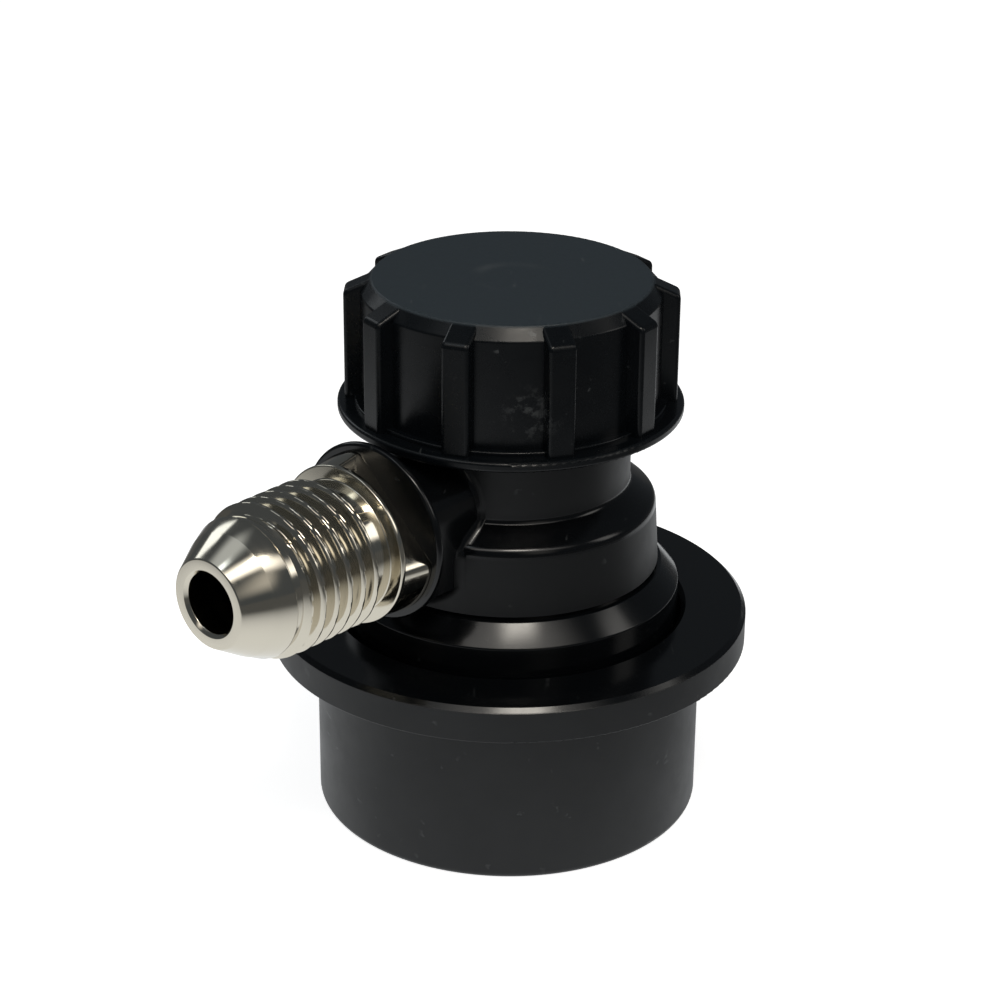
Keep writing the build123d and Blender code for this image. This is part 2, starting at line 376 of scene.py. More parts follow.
def from_axis(tree, where):
    """Distance from the coupler's axis, from separated coordinates."""
    squares = [calc(tree, "POWER", where[side], 2.0) for side in ("X", "Y")]
    return calc(tree, "SQRT", calc(tree, "ADD", *squares))


def from_point(tree, place, point):
    """Distance of a place from a fixed point."""
    made = tree.nodes.new("ShaderNodeVectorMath")
    made.operation = "DISTANCE"
    tree.links.new(place, made.inputs[0])
    made.inputs[1].default_value = point
    return made.outputs["Value"]


def put_group(tree, group, **values):
    """Places a shared group in a material."""
    made = tree.nodes.new("ShaderNodeGroup")
    made.node_tree = group
    return wire(tree, made, **values)


def new_finish(name):
    """Material with a Principled shader; gives it, its tree, the shader and object places."""
    material = bpy.data.materials.new(name)
    material.use_nodes = True
    tree = material.node_tree
    shader = tree.nodes["Principled BSDF"]
    place = tree.nodes.new("ShaderNodeTexCoord").outputs["Object"]
    return material, tree, shader, place


def bumped(tree, shader, height, strength, distance=0.02 * MM):
    """Bump from a height to the shader's normal."""
    made = tree.nodes.new("ShaderNodeBump")
    wire(tree, made, Height=height, Strength=strength, Distance=distance)
    tree.links.new(made.outputs["Normal"], shader.inputs["Normal"])


def mixed(tree, fraction, first, second):
    """Colour mixed by a fraction; the first may be a socket."""
    made = tree.nodes.new("ShaderNodeMix")
    made.data_type = "RGBA"
    tree.links.new(fraction, made.inputs["Factor"])
    if isinstance(first, bpy.types.NodeSocket):
        tree.links.new(first, made.inputs["A"])
    else:
        made.inputs["A"].default_value = (*first, 1)
    made.inputs["B"].default_value = (*second, 1)
    return made.outputs["Result"]


# --- Finishes ---------------------------------------------------------------


class FinishSettings(bpy.types.PropertyGroup):
    """Colours and gloss of the coupler's materials."""

    black: colour("Moulding", "Black of the body and collar", 0.0024, 0.0030, 0.0038)
    cap_black: colour("Cap wall", "Black of the screw cap's wall", 0.0030, 0.0042, 0.0056)
    # Painted light: the cap top's colour is painted paler than the wall, standing in for the light
    # its dull face catches.
    cap_top_painted_light: colour("Cap top", "Top of the screw cap, dull from handling and painted paler for the light it catches", 0.034, 0.045, 0.054)
    cap_gloss: share("Cap gloss", "Roughness of the screw cap's wall", 0.22)
    rubbed: spot("Rubbed spot", "Middle of the rubbed spot on the cap's wall", 1.4, -11.0, 35.6)
    gate_radius: length("Gate mark", "Radius of the faint ring in the middle of the cap", 2.6)
    scuff: colour("Scuff", "Pale colour of scratches and dust", 0.15, 0.16, 0.165)
    steel: colour("Stainless", "Stainless steel of the outlet", 0.65, 0.605, 0.51)
    wire_steel: colour("Spring steel", "Steel of the springs", 0.42, 0.41, 0.40)
    rubber: colour("Seal", "Black rubber of the seals", 0.012, 0.012, 0.012)
    white: colour("Poppet", "Natural acetal of the poppet pin", 0.55, 0.54, 0.50)
    gloss: share("Gloss", "Roughness of the polished moulded surfaces", 0.14)
    satin: share("Satin", "Roughness of the satin surfaces", 0.42)
    polish_height: length("Polished from", "Height above which the collar is polished", 15.6)


def black_moulding(name, settings, satin_mask, scuff_scale, scuffed, haze, relief, **grains):
    """Polished black moulding that is satin where a mask says so."""
    material, tree, shader, place = new_finish(name)
    where = separated(tree, place)
    grain = put_group(tree, moulding_grain(), Place=place, **grains)
    scuffs = put_group(tree, handling_scuffs(), Place=place, Scale=scuff_scale, Amount=scuffed)
    satin = satin_mask(tree, where)
    rough = raised(tree, settings.gloss, satin, settings.satin - settings.gloss)
    rough = raised(tree, rough, grain.outputs["Cloud"], haze)
    tone = mixed(tree, scuffs.outputs["Mask"], settings.black, settings.scuff)
    wire(tree, shader, Roughness=rough, Base_Color=tone, Specular_IOR_Level=0.4)
    bumped(tree, shader, grain.outputs["Height"], relief)
    return material


def body_finish(settings, sizes):
    """Black moulding, polished except on the band and the neck."""

    def satin_mask(tree, where):
        level, away = where["Z"], from_axis(tree, where)
        foot, top, radius = sizes.band_foot, sizes.band_top, sizes.band_foot_radius
        band = product(
            tree,
            eased(tree, level, foot, foot + 0.1 * MM),
            eased(tree, level, top - 0.4 * MM, top - 0.7 * MM),
            eased(tree, away, radius + 0.3 * MM, radius + 0.15 * MM),
        )
        neck = product(
            tree,
            eased(tree, level, sizes.neck_foot + 0.15 * MM, sizes.neck_foot + 0.35 * MM),
            eased(tree, away, sizes.neck + 0.17 * MM, sizes.neck + 0.05 * MM),
        )
        return calc(tree, "MAXIMUM", band, neck)

    return black_moulding(
        "Black moulding", settings, satin_mask, scuff_scale=1100.0, scuffed=0.15,
        haze=0.05, relief=0.05, Grain_scale=7000.0, Cloud_scale=420.0,
    )


def collar_finish(settings):
    """Black moulding of the collar: satin wall under a polished flange."""

    def satin_mask(tree, where):
        low = settings.polish_height
        return eased(tree, where["Z"], low + 0.15 * MM, low)

    return black_moulding(
        "Collar moulding", settings, satin_mask, scuff_scale=1000.0, scuffed=0.25,
        haze=0.06, relief=0.08, Grain_scale=6000.0, Cloud_scale=300.0,
    )


def cap_finish(settings):
    """Black screw cap: smooth wall, and a duller top painted paler for the light it catches, with
    a faint gate mark and scuffs.
    """
    material, tree, shader, place = new_finish("Cap moulding")
    where = separated(tree, place)
    top_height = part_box("cap")[1].z
    top = eased(tree, where["Z"], top_height - 0.2 * MM, top_height - 0.05 * MM)
    grain = put_group(tree, moulding_grain(), Place=place, Grain_scale=5000.0, Cloud_scale=350.0)
    scuffs = put_group(tree, handling_scuffs(), Place=place, Scale=1300.0, Amount=0.35)
    off_ring = calc(
        tree, "ABSOLUTE", calc(tree, "SUBTRACT", from_axis(tree, where), settings.gate_radius)
    )
    broken = eased(tree, cloud(tree, place, 160.0, 1.0), 0.42, 0.62)
    gate = product(tree, eased(tree, off_ring, 0.8 * MM, 0.0), top, broken)
    rough = raised(tree, settings.cap_gloss, grain.outputs["Cloud"], 0.1)
    rough = raised(tree, rough, top, settings.satin - settings.cap_gloss)
    patch = product(
        tree,
        eased(tree, from_point(tree, place, settings.rubbed), 2.6 * MM, 0.6 * MM, 0.0, 0.3),
        eased(tree, cloud(tree, place, 1500.0, 4.0, 0.6), 0.48, 0.66),
    )
    worn = calc(tree, "MAXIMUM", scuffs.outputs["Mask"], calc(tree, "MULTIPLY", gate, 0.22))
    worn = calc(tree, "MAXIMUM", worn, patch)
    # Painted light: the top is painted paler than the wall for the light that its dull face
    # catches.
    tone = mixed(tree, top, settings.cap_black, settings.cap_top_painted_light)
    tone = mixed(tree, worn, tone, settings.scuff)
    wire(tree, shader, Roughness=rough, Base_Color=tone, Specular_IOR_Level=0.3)
    bumped(tree, shader, calc(tree, "ADD", grain.outputs["Height"], gate), 0.05)
    return material


def steel_finish(name, tone, sizes, roughness):
    """Turned steel; the marks run round the outlet's axis."""
    material, tree, shader, place = new_finish(name)
    aligned = tree.nodes.new("ShaderNodeMapping")
    wire(tree, aligned, Vector=place, Rotation=(0.0, 0.0, -sizes.outlet_angle))
    marks = put_group(tree, turning_marks(), Place=aligned.outputs["Vector"], Scale=5000.0)
    rough = raised(tree, roughness, marks.outputs["Gloss"], 0.06)
    wire(tree, shader, Roughness=rough, Base_Color=(*tone, 1), Metallic=1.0)
    bumped(tree, shader, marks.outputs["Height"], 0.02, 0.01 * MM)
    return material


def plain_finish(name, tone, roughness, fineness):
    """Moulded rubber or plastic in one colour with a fine grain."""
    material, tree, shader, place = new_finish(name)
    grain = put_group(tree, moulding_grain(), Place=place, Grain_scale=fineness, Cloud_scale=500.0)
    rough = raised(tree, roughness, grain.outputs["Cloud"], 0.1)
    pale = tuple(min(1.0, value * 1.25) for value in tone)
    tone = mixed(tree, grain.outputs["Cloud"], tone, pale)
    wire(tree, shader, Roughness=rough, Base_Color=tone)
    bumped(tree, shader, grain.outputs["Height"], 0.15)
    return material


# --- Pieces -----------------------------------------------------------------


class OutletSizes(bpy.types.PropertyGroup):
    """Sizes of the stainless outlet along its own axis, from the coupler's centre line."""

    outlet_angle: degrees("Direction", "Direction of the outlet, seen from above", -131.0)
    shank_end: length("Shank end", "Where the shank ends inside the boss", 10.5)
    shank_radius: length("Shank radius", "Radius of the shank in the boss", 3.1)
    boss_front: length("Boss front", "Front face of the boss", 15.0)
    body_radius: length("Shoulder radius", "Radius of the shoulder beside the boss", 6.0)
    body_land: length("Shoulder land", "Length of the shoulder before its cone", 0.3)
    cone_radius: length("Cone radius", "Radius of the shoulder's cone beside the disc", 5.62)
    body_front: length("Shoulder front", "Where the wrench flats end", 17.5)
    flats: length("Across flats", "Distance between the two wrench flats", 7.14)
    flat_angle: degrees("Flat angle", "Turn of the wrench flats about the outlet's axis", -42.9)
    disc_radius: length("Disc radius", "Radius of the thin disc before the thread", 5.85)
    disc_front: length("Disc front", "Front face of the thin disc", 17.95)
    relief_radius: length("Relief radius", "Radius of the relief behind the thread", 4.8)
    thread_foot: length("Thread foot", "Where the thread starts", 19.3)
    thread_tip: length("Thread tip", "Where the thread ends", 26.5)
    thread_radius: length("Thread radius", "Crest radius of the 7/16-20 thread", 5.556)
    thread_pitch: length("Thread pitch", "Pitch of the 7/16-20 thread", 1.27)
    thread_depth: length("Thread depth", "Crest to root", 0.76)
    groove_radius: length("Groove radius", "Radius of the neck between thread and nose", 4.9)
    nose_foot: length("Nose foot", "Where the flare nose starts", 27.1)
    nose_foot_radius: length("Nose foot radius", "Radius at the foot of the nose", 5.15)
    nose_mid: length("Nose shoulder", "Where the nose gets steeper", 28.56)
    nose_mid_radius: length("Nose shoulder radius", "Radius where the nose gets steeper", 4.45)
    tip: length("Tip", "End of the nose", 30.6)
    tip_radius: length("Tip radius", "Outer radius of the nose's end", 3.22)
    bore_radius: length("Bore", "Radius of the bore", 2.2)
    edge: length("Edge", "Broken edge of the turned corners", 0.12)


THREAD_CREST = 1 / 16       # half the flat crest, in pitches
THREAD_ROOT = 1 / 8         # half the flat root, in pitches
THREAD_EASE = 0.06          # how softly the flanks meet crest and root
THREAD_STEP = 0.05 * MM     # between two rows of points on the thread
THREAD_RUN = 0.5 * MM       # over which the thread starts and ends
FLAT_SHARPNESS = 24         # how sharply the wrench flats meet the round shoulder
LEAST_LEAN = 0.1            # past this the round shoulder alone decides


def thread_height(turns):
    """Height of a 60-degree thread, 0 at the root and 1 at the crest, for a number of turns."""
    away = abs(turns - math.floor(turns + 0.5))
    flank = (0.5 - THREAD_ROOT - away) / (0.5 - THREAD_ROOT - THREAD_CREST)
    flank = min(max(flank, 0.0), 1.0)
    return flank - THREAD_EASE * math.sin(2 * math.pi * flank)


class COUPLER_OT_outlet(bpy.types.Operator):
    """Turned stainless outlet with wrench flats, thread and flare nose"""

    bl_idname = "coupler.outlet"
    bl_label = "Stainless outlet"

    def execute(self, context):
        sizes = context.scene.coupler_outlet
        edge = sizes.edge
        outline = rounded(
            [
                (sizes.shank_end, sizes.bore_radius),
                (sizes.shank_end, sizes.shank_radius, edge),
                (sizes.boss_front, sizes.shank_radius),
                (sizes.boss_front, sizes.body_radius, edge),
                (sizes.boss_front + sizes.body_land, sizes.body_radius, edge),
                (sizes.body_front, sizes.cone_radius),
                (sizes.body_front, sizes.disc_radius, edge),
                (sizes.disc_front, sizes.disc_radius, edge),
                (sizes.disc_front, sizes.relief_radius, edge),
                (sizes.thread_foot, sizes.relief_radius),
                (sizes.thread_foot + THREAD_RUN, sizes.thread_radius),
                (sizes.thread_tip - THREAD_RUN, sizes.thread_radius),
                (sizes.thread_tip, sizes.groove_radius),
                (sizes.nose_foot, sizes.groove_radius),
                (sizes.nose_foot, sizes.nose_foot_radius, edge),
                (sizes.nose_mid, sizes.nose_mid_radius, edge),
                (sizes.tip, sizes.tip_radius, 1.2 * edge),
                (sizes.tip, sizes.bore_radius + 2 * edge, edge / 2),
                (sizes.tip - 2 * edge, sizes.bore_radius, edge / 2),
            ],
            steps=4,
        )
        stations = []
        for index, point in enumerate(outline):
            last = outline[index - 1]
            on_thread = (
                index and min(point.x, last.x) > sizes.thread_foot - MM / 4
                and max(point.x, last.x) < sizes.thread_tip + MM / 4
            )
            parts = max(1, math.ceil((point.x - last.x) / THREAD_STEP)) if on_thread else 1
            stations += [last.lerp(point, part / parts) for part in range(1, parts + 1)]
        first_flat = min(
            index for index, station in enumerate(stations)
            if station.y > sizes.shank_radius + edge
        )
        last_flat = 1 + min(
            index for index, station in enumerate(stations)
            if station.x > sizes.body_front - TINY
        )
        root = sizes.thread_radius - sizes.thread_depth

        def shape(index, along, radius, angle):
            if first_flat <= index < last_flat:
                lean = abs(math.cos(angle - sizes.flat_angle))
                flat = sizes.flats / 2 / max(lean, LEAST_LEAN)
                power_sum = radius**-FLAT_SHARPNESS + flat**-FLAT_SHARPNESS
                radius = power_sum ** (-1 / FLAT_SHARPNESS)
            if sizes.thread_foot < along < sizes.thread_tip:
                turns = along / sizes.thread_pitch - angle / (2 * math.pi)
                radius = min(radius, root + sizes.thread_depth * thread_height(turns))
            return radius

        shown(
            "stainless_outlet", turned("Outlet", stations, outlet_frame(sizes), shape=shape),
            steel_finish("Stainless steel", context.scene.coupler_finish.steel, sizes, 0.09),
            "stainless", "base", "flare_insert",
        )
        return {"FINISHED"}


class BodySizes(bpy.types.PropertyGroup):
    """Sizes of the moulded body: radii about the coupler's axis and heights above its foot."""

    mouth: length("Mouth", "Radius of the socket's bevelled mouth", 9.05)
    post: length("Post bore", "Radius of the bore for the keg's post", 8.65)
    guide: length("Guide", "Height of the lower guide bore", 3.4)
    relief_top: length("Relief top", "Where the wider bore round the balls ends", 7.6)
    relief: length("Ball relief", "How much wider the bore is round the balls", 0.25)
    socket: length("Socket depth", "Height of the socket's end", 13.0)
    seat: length("Seat hole", "Radius of the poppet's seat hole", 3.4)
    seat_height: length("Seat height", "Where the seat's cone starts", 16.6)
    chamber: length("Chamber", "Radius of the chamber above the seat", 5.6)
    chamber_foot: length("Chamber foot", "Where the seat's cone ends", 18.8)
    skirt: length("Skirt", "Outer radius of the skirt inside the collar", 10.65)
    snap_height: length("Snap groove height", "Height of the groove for the snap ring", 1.45)
    snap_circle: length("Snap groove circle", "Radius of the middle of that groove's wire", 10.75)
    snap_wire: length("Snap groove width", "Half the width of that groove", 0.55)
    ring_underside: length("Ring underside", "Underside of the ring in the collar", 15.2)
    ring: length("Ring", "Radius of the ring in the collar", 12.8)
    ring_top: length("Ring top", "Where the ring's cone starts", 18.05)
    band_foot: length("Band foot", "Where the band starts", 19.8)
    band_foot_radius: length("Band foot radius", "Radius of the band at its foot", 11.2)
    band_groove: length("Band groove", "Depth and height of the groove under the band", 0.25)
    band_top: length("Band top", "Where the band ends", 24.8)
    band_top_radius: length("Band top radius", "Radius of the band at its top", 10.9)
    band_round: length("Shoulder rounding", "Rounding between band and shoulder", 0.85)
    neck_foot: length("Neck foot", "Where the neck starts", 26.25)
    neck: length("Neck", "Radius of the neck", 8.95)
    neck_round: length("Neck rounding", "Hollow rounding at the foot of the neck", 0.5)
    neck_top: length("Neck top", "Where the neck ends under the cap", 31.5)
    spout: length("Spout", "Radius of the spout in the cap", 8.6)
    spout_top: length("Spout top", "Height of the spout", 39.3)
    edge: length("Edge", "Rounding that the mould leaves on outer edges", 0.25)
    ball_circle: length("Ball circle", "Radius on which the balls' seats lie", 9.5)
    ball_hole: length("Ball hole", "Radius of the holes for the balls", 1.83)
    ball_height: length("Ball height", "Height of the balls' holes", 5.5)
    ball_turn: degrees("Ball angle", "Direction of the first ball's hole", 4.0)
    boss: length("Boss", "Radius of the boss's flange", 6.58)
    boss_front: length("Boss front", "Front face of the boss, along the outlet", 15.0)
    boss_back: length("Boss back", "Back face of the boss's flange", 14.38)
    web_half: length("Web", "Half the width of the web that carries the boss", 4.1)
    web_top: length("Web top", "Height of the web's arch above the outlet's axis", 4.72)
    web_foot: length("Web foot", "Radius of the web's underside about the outlet's axis", 6.2)
    web_start: length("Web start", "Where the web starts inside the neck's wall", 6.6)
    fillet: length("Fillet", "Hollow rounding where the web meets neck and shoulder", 0.7)
    passage: length("Passage", "Radius of the passage to the chamber", 2.0)
    shank_end: length("Shank end", "Where the bore for the outlet's shank starts", 10.45)
    shank_bore: length("Shank bore", "Radius of the bore for the outlet's shank", 3.15)
    seal_back: length("Seal groove", "Where the groove for the outlet's seal starts", 13.3)
    seal_bore: length("Seal groove radius", "Radius of that groove", 4.15)
    seal_wire: length("Seal wire", "Half the thickness of the outlet's seal", 0.475)


def body_outline(sizes):
    """Outer half of the body's section as (height, radius), from the mouth to the spout's top."""
    steps = 12
    snap_groove = []
    start = math.acos((sizes.skirt - sizes.snap_circle) / sizes.snap_wire)
    for step in range(steps + 1):
        angle = math.pi + (math.pi - start) * (1 - 2 * step / steps)
        snap_groove.append((
            sizes.snap_height + sizes.snap_wire * math.sin(angle),
            sizes.snap_circle + sizes.snap_wire * math.cos(angle),
        ))
    groove_foot = sizes.band_foot - sizes.band_groove
    return [
        (0, sizes.skirt, sizes.edge),
        *snap_groove,
        (sizes.ring_underside, sizes.skirt),
        (sizes.ring_underside, sizes.ring),
        (sizes.ring_top, sizes.ring, sizes.edge),
        (groove_foot, sizes.band_foot_radius + sizes.band_groove, sizes.edge / 2),
        (groove_foot, sizes.band_foot_radius - sizes.band_groove),
        (sizes.band_foot, sizes.band_foot_radius - sizes.band_groove),
        (sizes.band_foot, sizes.band_foot_radius, sizes.edge / 4),
        (sizes.band_top, sizes.band_top_radius, sizes.band_round),
        (sizes.neck_foot, sizes.neck, sizes.neck_round),
        (sizes.neck_top, sizes.neck),
        (sizes.neck_top, sizes.spout),
        (sizes.spout_top, sizes.spout, sizes.edge),
    ]


def web_outline(sizes):
    """Section of the web as (sideways, height) from the outlet's axis, anticlockwise."""
    half, foot = sizes.web_half, sizes.web_foot
    arch_steps, side_steps, foot_steps = 32, 8, 16
    middle = sizes.web_top - half
    outline = []
    for step in range(arch_steps + 1):
        angle = step / arch_steps * math.pi
        outline.append((half * math.cos(angle), middle + half * math.sin(angle)))
    side = math.sqrt(foot**2 - half**2)
    for step in range(1, side_steps):
        outline.append((-half, middle + (-side - middle) * step / side_steps))
    spread = math.asin(half / foot)
    for step in range(foot_steps + 1):
        angle = -math.pi / 2 - spread + step / foot_steps * 2 * spread
        outline.append((foot * math.cos(angle), foot * math.sin(angle)))
    for step in range(1, side_steps):
        outline.append((half, -side + (middle + side) * step / side_steps))
    return outline


def wall_radius(outline, height):
    """Radius and outward direction (radius, height) of an outline at a height."""
    for first, second in zip(outline, outline[1:]):
        if first.x <= height <= second.x and second.x - first.x > TINY:
            along = (height - first.x) / (second.x - first.x)
            slope = Vector((second.x - first.x, first.y - second.y)).normalized()
            return first.y + (second.y - first.y) * along, slope
    raise ValueError("the outline has no wall at this height")


def web_fillet(sizes, outline, carry, height):
    """Hollow rounding along the line where the web meets the body, as a closed ring."""
    section = [Vector(point) for point in web_outline(sizes)]
    steps = 8
    into_face, into_corner = 0.3 * MM, 0.2 * MM
    rows = []
    for index, (side, lift) in enumerate(section):
        ahead = section[(index + 1) % len(section)] - section[index - 1]
        face = Vector((0, ahead.y, -ahead.x)).normalized()
        radius, slope = wall_radius(outline, height + lift)
        reach = math.sqrt(radius**2 - side**2)
        wall = Vector((reach / radius * slope.x, side / radius * slope.x, slope.y))
        away = sizes.fillet / (1 + face.dot(wall))
        corner = Vector((reach, side, lift))
        centre = corner + (face + wall) * away
        row = [
            centre - face.lerp(wall, step / steps).normalized() * sizes.fillet
            for step in range(steps + 1)
        ]
        row.append(row[steps] - wall * into_face)
        row.append(corner - (face + wall) * into_corner)
        row.append(row[0] - face * into_face)
        rows.append([carry @ point for point in row])
    return woven("Web fillet", rows)


def ball_holes(sizes):
    """Round-ended holes through the skirt for the four balls."""
    steps = 16
    outer = sizes.skirt + MM
    section = [
        (sizes.ball_circle - sizes.ball_hole * math.cos(step / steps * math.pi / 2),
         sizes.ball_hole * math.sin(step / steps * math.pi / 2))
        for step in range(steps + 1)
    ]
    section = rounded(section + [(outer, sizes.ball_hole), (outer, 0)])
    holes = []
    for number in range(4):
        turn = Matrix.Rotation(sizes.ball_turn + number * math.pi / 2, 4, "Z")
        place = turn @ Matrix.Translation((0, 0, sizes.ball_height))
        holes.append(turned("Ball hole", section, place, columns=48))
    return holes


class COUPLER_OT_body(bpy.types.Operator):
    """Moulded body with its ring, band, neck, spout, web and boss, and the seal in the boss"""

    bl_idname = "coupler.body"
    bl_label = "Moulded body"

    def execute(self, context):
        sizes = context.scene.coupler_body
        settings = context.scene.coupler_finish
        upright = Matrix.Rotation(-math.pi / 2, 4, "Y")
        sideways = outlet_frame(context.scene.coupler_outlet)
        outer = body_outline(sizes)
        inner = [
            (sizes.spout_top, sizes.chamber),
            (sizes.chamber_foot, sizes.chamber),
            (sizes.seat_height, sizes.seat),
            (sizes.socket, sizes.seat),
            (sizes.socket, sizes.post),
            (sizes.relief_top, sizes.post),
            (sizes.relief_top - sizes.relief, sizes.post + sizes.relief),
            (sizes.guide + sizes.relief, sizes.post + sizes.relief),
            (sizes.guide, sizes.post),
            (sizes.mouth - sizes.post, sizes.post),
            (0, sizes.mouth),
        ]
        shell = turned("Body", rounded(outer + inner, steps=8), upright, columns=288)

        section = web_outline(sizes)
        end = (sizes.boss_front + sizes.boss_back) / 2
        web = ended("Web", [
            [sideways @ Vector((x, side, lift)) for side, lift in section]
            for x in (sizes.web_start, end)
        ])
        boss_outline = rounded([
            (sizes.boss_back, 0),
            (sizes.boss_back, sizes.boss, sizes.edge),
            (sizes.boss_front, sizes.boss, sizes.edge),
            (sizes.boss_front, 0),
        ])
        boss = turned("Boss", boss_outline, sideways, columns=144)
        groove_width = 2.1 * sizes.seal_wire
        bore_outline = rounded([
            (0, 0),
            (0, sizes.passage),
            (sizes.shank_end, sizes.passage),
            (sizes.shank_end, sizes.shank_bore),
            (sizes.seal_back, sizes.shank_bore),
            (sizes.seal_back, sizes.seal_bore),
            (sizes.seal_back + groove_width, sizes.seal_bore),
            (sizes.seal_back + groove_width, sizes.shank_bore),
            (sizes.boss_front + MM, sizes.shank_bore),
            (sizes.boss_front + MM, 0),
        ])
        bore = turned("Bore", bore_outline, sideways, columns=96)
        solid = carved(shell, [web, boss], [bore, *ball_holes(sizes)])
        fillet = web_fillet(sizes, rounded(outer, steps=8), sideways, outlet_height())
        shown(
            "moulded_body", merged("Moulded body", solid, fillet),
            body_finish(settings, sizes), "body_plastic", "base", "body",
        )

        steps = 24
        middle = sizes.shank_bore + sizes.seal_wire
        ring = []
        for step in range(steps):
            angle = step / steps * 2 * math.pi
            along = sizes.seal_back + groove_width / 2 + sizes.seal_wire * math.sin(angle)
            ring.append(Vector((along, middle + sizes.seal_wire * math.cos(angle))))
        shown(
            "outlet_seal", turned("Outlet seal", ring, sideways, columns=72),
            plain_finish("Outlet seal rubber", settings.rubber, 0.5, 4000.0),
            "seal_rubber", "base", "insert_seal",
        )
        return {"FINISHED"}


def dress(material, *nodes):
    """Gives CAD nodes a procedural finish."""
    for node in nodes:
        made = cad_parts[node]
        made.data.materials.clear()
        made.data.materials.append(material)


class COUPLER_OT_mouldings(bpy.types.Operator):
    """Finishes of the collar and cap"""

    bl_idname = "coupler.mouldings"
    bl_label = "Mouldings"

    def execute(self, context):
        settings = context.scene.coupler_finish
        dress(collar_finish(settings), "collar")
        dress(cap_finish(settings), "cap")
        return {"FINISHED"}


class COUPLER_OT_inner_parts(bpy.types.Operator):
    """Finishes of the springs, balls, washer, ring, pin and seals"""

    bl_idname = "coupler.inner_parts"
    bl_label = "Inner parts"

    def execute(self, context):
        settings = context.scene.coupler_finish
        sizes = context.scene.coupler_outlet
        springs = steel_finish("Spring steel", settings.wire_steel, sizes, 0.22)
        dress(springs, "collar_spring", "poppet_spring", "snap_ring", "stop_washer")
        dress(
            steel_finish("Ball steel", settings.steel, sizes, 0.1),
            *[f"ball_{number}" for number in range(1, 5)],
        )
        rubber = plain_finish("Seal rubber", settings.rubber, 0.5, 4000.0)
        dress(rubber, "poppet_seal", "cap_gasket")
        dress(plain_finish("Poppet acetal", settings.white, 0.35, 3000.0), "poppet_pin")
        return {"FINISHED"}


# --- Stage ------------------------------------------------------------------


class StageSettings(bpy.types.PropertyGroup):
    """Camera, lamps and floor."""

    camera_place: spot("Camera", "Where the camera stands", 0, -184.48, 107.41)
    camera_lens: bpy.props.FloatProperty(
        name="Lens", description="Focal length on a 36 mm sensor, in millimetres", default=97.25
    )
    camera_pitch: degrees("Pitch", "How far the camera looks down", 24.32)
    camera_roll: degrees("Roll", "Tilt of the camera", -0.498473)
    camera_yaw: degrees("Yaw", "Turn of the camera", -0.229183)
    key_power: power("Key lamp", "the key lamp", 1.5)
    wide_power: power("Wide lamp", "the wide front lamp", 2.5)
    side_power: power("Side lamp", "the side lamp", 0.5)
    front_power: power("Front lamp", "the low front lamp", 0.3)
    ceiling_power: power("Ceiling", "the pale ceiling at the left", 0.35)
    sky_power: power("Sky lamp", "the bluish lamp at the left", 0.16)
    window_power: power("Window", "the window behind", 0.3)
    floor_glow: share("Floor glow", "How much the floor glows by itself for the camera", 0.84)
    floor_mirrored: share("Mirrored floor", "Floor in reflections, near the outlet", 0.95)
    floor_behind: share("Floor behind", "Floor in reflections, behind at the right", 0.8)
    floor_far: share("Far floor", "Floor in reflections, further away", 0.10)


WARM, MILD, NEUTRAL = (1.0, 0.94, 0.84), (1.0, 0.96, 0.90), (1.0, 0.97, 0.92)
COOL, BLUISH, SKY = (0.92, 0.97, 1.0), (0.9, 0.96, 1.0), (0.85, 0.94, 1.0)
LAMPS = (
    # Power setting, name, azimuth and elevation in degrees, distance, width and height in
    # metres, tone, and the share of the half width over which the edges fade.
    ("key_power", "Key lamp", 11, 60, 0.55, 0.24, 0.11, WARM, 0.7),
    ("wide_power", "Wide lamp", 2, 56, 0.58, 1.10, 0.28, MILD, 0.9),
    ("side_power", "Side lamp", 85, 30, 0.6, 0.22, 0.35, NEUTRAL, 0.6),
    ("front_power", "Front lamp", 24, 30, 0.6, 0.35, 0.5, WARM, 0.9),
    ("ceiling_power", "Ceiling", -90, 64, 0.6, 0.5, 0.4, BLUISH, 0.8),
    ("sky_power", "Sky lamp", -57, 61, 0.6, 0.14, 0.12, SKY, 0.6),
    ("window_power", "Window", -136, 29, 0.6, 0.22, 0.26, COOL, 0.3),
)
FLOOR_PATCHES = (
    # Brightness setting, centre, and the radii in millimetres between which it fades.
    ("floor_mirrored", (-30, -10), 25, 120),
    ("floor_behind", (62, 52), 38, 58),
)


def lamp(target, watts, name, azimuth, elevation, distance, width, height, tone, soft):
    """Rectangular lamp whose edges fade; azimuth 0 is in front and positive to the right."""
    light = bpy.data.lights.new(name, "AREA")
    light.shape = "RECTANGLE"
    light.size = width
    light.size_y = height
    light.energy = watts
    light.color = tone
    light.use_nodes = True
    tree = light.node_tree
    sides = separated(tree, tree.nodes.new("ShaderNodeNewGeometry").outputs["Parametric"])
    strength = 1.0
    for side in ("X", "Y"):
        away = calc(tree, "ABSOLUTE", calc(tree, "SUBTRACT", sides[side], 0.5))
        strength = product(tree, strength, eased(tree, away, 0.5 * (1 - soft), 0.5, 1.0, 0.0))
    wire(tree, tree.nodes["Emission"], Strength=strength)
    made = linked(name, light)
    turn, rise = math.radians(azimuth), math.radians(elevation)
    flat = math.cos(rise)
    away = Vector((math.sin(turn) * flat, -math.cos(turn) * flat, math.sin(rise)))
    made.location = target + away * distance
    made.rotation_mode = "QUATERNION"
    made.rotation_quaternion = away.to_track_quat("Z", "Y")


